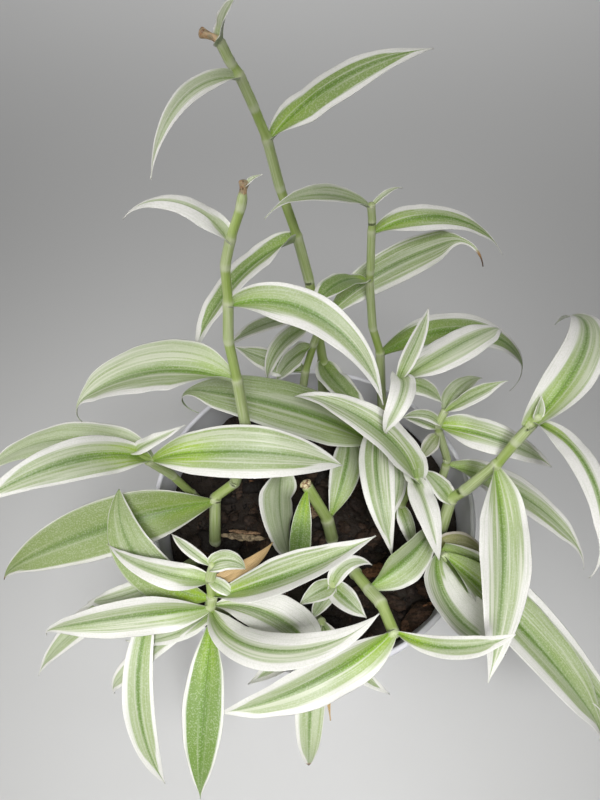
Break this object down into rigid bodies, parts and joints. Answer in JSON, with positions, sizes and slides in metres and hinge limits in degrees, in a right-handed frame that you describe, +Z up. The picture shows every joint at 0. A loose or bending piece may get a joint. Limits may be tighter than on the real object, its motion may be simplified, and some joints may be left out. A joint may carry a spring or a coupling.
{
  "type": "potted rhopalephora",
  "caption": "Potted trailing house plant: jointed pale-green stems with narrow pointed leaves striped green and white, in bark soil in a thin tapered white plastic pot.",
  "frame": {"origin": "centre of the pot's flat base, on the surface it stands on", "axes": "+Z up along the pot's axis, -Y towards the viewer of the reference picture, +X to that viewer's right"},
  "size_m": [0.2253, 0.1642, 0.2454],
  "materials": {
    "pot": "smooth satin white plastic",
    "soil": "damp dark-brown bark and peat mix",
    "stem_back_left": "leaves and stem of the long back-left stem: satin, striped green and white, stem pale green",
    "stem_left": "leaves and stem of the long left stem: satin, striped green and white, stem pale green",
    "stem_back_right": "leaves and stem of the long back-right stem: satin, striped green and white, stem pale green",
    "stem_right": "leaves and stem of the leaning right stem: satin, striped green and white, stem pale green",
    "stem_front_cut": "leaves and stem of the short cut-back stem: satin, striped green and white, stem pale green",
    "stem_front": "leaves and stem of the front stem: satin, striped green and white, stem pale green",
    "shoot_front_left": "leaves and stem of the bushy front-left shoot: satin, striped green and white, stem pale green",
    "shoot_left": "leaves and stem of the left shoot: satin, striped green and white, stem pale green",
    "shoot_centre": "leaves and stem of the centre shoot: satin, striped green and white, stem pale green",
    "shoot_right": "leaves and stem of the right shoot: satin, striped green and white, stem pale green",
    "shoot_centre_right": "leaves and stem of the centre-right shoot: satin, striped green and white, stem pale green",
    "shoot_back": "leaves and stem of the dim back shoot: satin, striped green and white, stem pale green",
    "shoot_front_right": "leaves and stem of the front-right shoot: satin, striped green and white, stem pale green",
    "shoot_front_small": "leaves and stem of the small front shoot: satin, striped green and white, stem pale green",
    "shoot_front_low": "leaves and stem of the low front shoot: satin, striped green and white, stem pale green",
    "shoot_left_low": "leaves and stem of the low left shoot: satin, striped green and white, stem pale green",
    "shoot_centre_left": "leaves and stem of the small centre-left shoot: satin, striped green and white, stem pale green"
  },
  "bodies": {
    "root": {"pot": "pot", "soil": "soil", "stem_back_left": "stem_back_left", "stem_left": "stem_left", "stem_back_right": "stem_back_right", "stem_right": "stem_right", "stem_front_cut": "stem_front_cut", "stem_front": "stem_front", "shoot_front_left": "shoot_front_left", "shoot_left": "shoot_left", "shoot_centre": "shoot_centre", "shoot_right": "shoot_right", "shoot_centre_right": "shoot_centre_right", "shoot_back": "shoot_back", "shoot_front_right": "shoot_front_right", "shoot_front_small": "shoot_front_small", "shoot_front_low": "shoot_front_low", "shoot_left_low": "shoot_left_low", "shoot_centre_left": "shoot_centre_left"}
  },
  "joints": []
}
